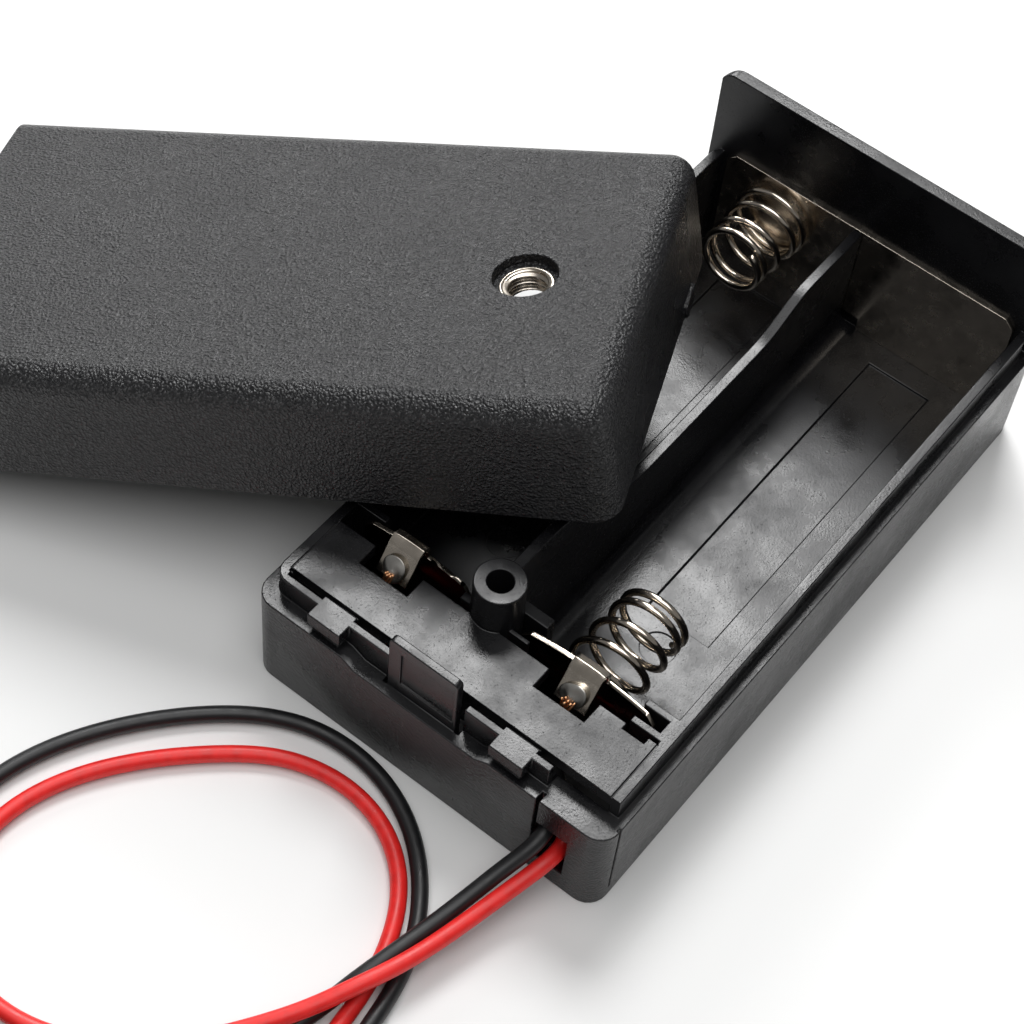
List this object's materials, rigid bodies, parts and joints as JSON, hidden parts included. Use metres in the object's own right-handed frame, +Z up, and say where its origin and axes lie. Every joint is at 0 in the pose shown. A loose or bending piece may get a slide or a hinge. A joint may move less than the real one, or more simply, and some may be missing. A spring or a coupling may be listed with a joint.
{
  "type": "cylindrical cell holder",
  "caption": "Open moulded case for AA cells laid side by side, with spring contacts, a loose lid leaning across it with a threaded insert, and a red and a black lead.",
  "frame": {"origin": "centre of the case's flat underside", "axes": "+X from the lead end to the far end wall, +Y to the side that the open lid leans on, +Z up along the closing post"},
  "size_m": [0.1097, 0.0903, 0.032],
  "materials": {
    "case_plastic": "moulded ABS with a fine satin grain, dark charcoal to black",
    "lid_plastic": "moulded ABS with a coarse pebble grain, dark charcoal",
    "insert_metal": "nickel-plated brass, bright thread",
    "contact_sheet": "nickel-plated spring sheet, warm and bright",
    "spring_wire": "nickel-plated spring wire, polished",
    "solder": "tin solder, soft shine",
    "copper_strands": "stranded copper",
    "red_insulation": "red PVC, smooth and slightly glossy",
    "black_insulation": "black PVC, smooth and slightly glossy"
  },
  "bodies": {
    "root": {"base_case": "case_plastic", "lid": "lid_plastic", "threaded_insert": "insert_metal", "positive_contact": "contact_sheet", "negative_contact": "contact_sheet", "link_contact": "contact_sheet", "negative_spring": "spring_wire", "link_spring": "spring_wire", "positive_solder_joint": "solder", "negative_solder_joint": "solder", "red_lead": "red_insulation", "black_lead": "black_insulation", "red_inner_strands": "copper_strands", "black_inner_strands": "copper_strands", "red_tinned_end": "solder", "black_tinned_end": "solder"}
  },
  "joints": []
}
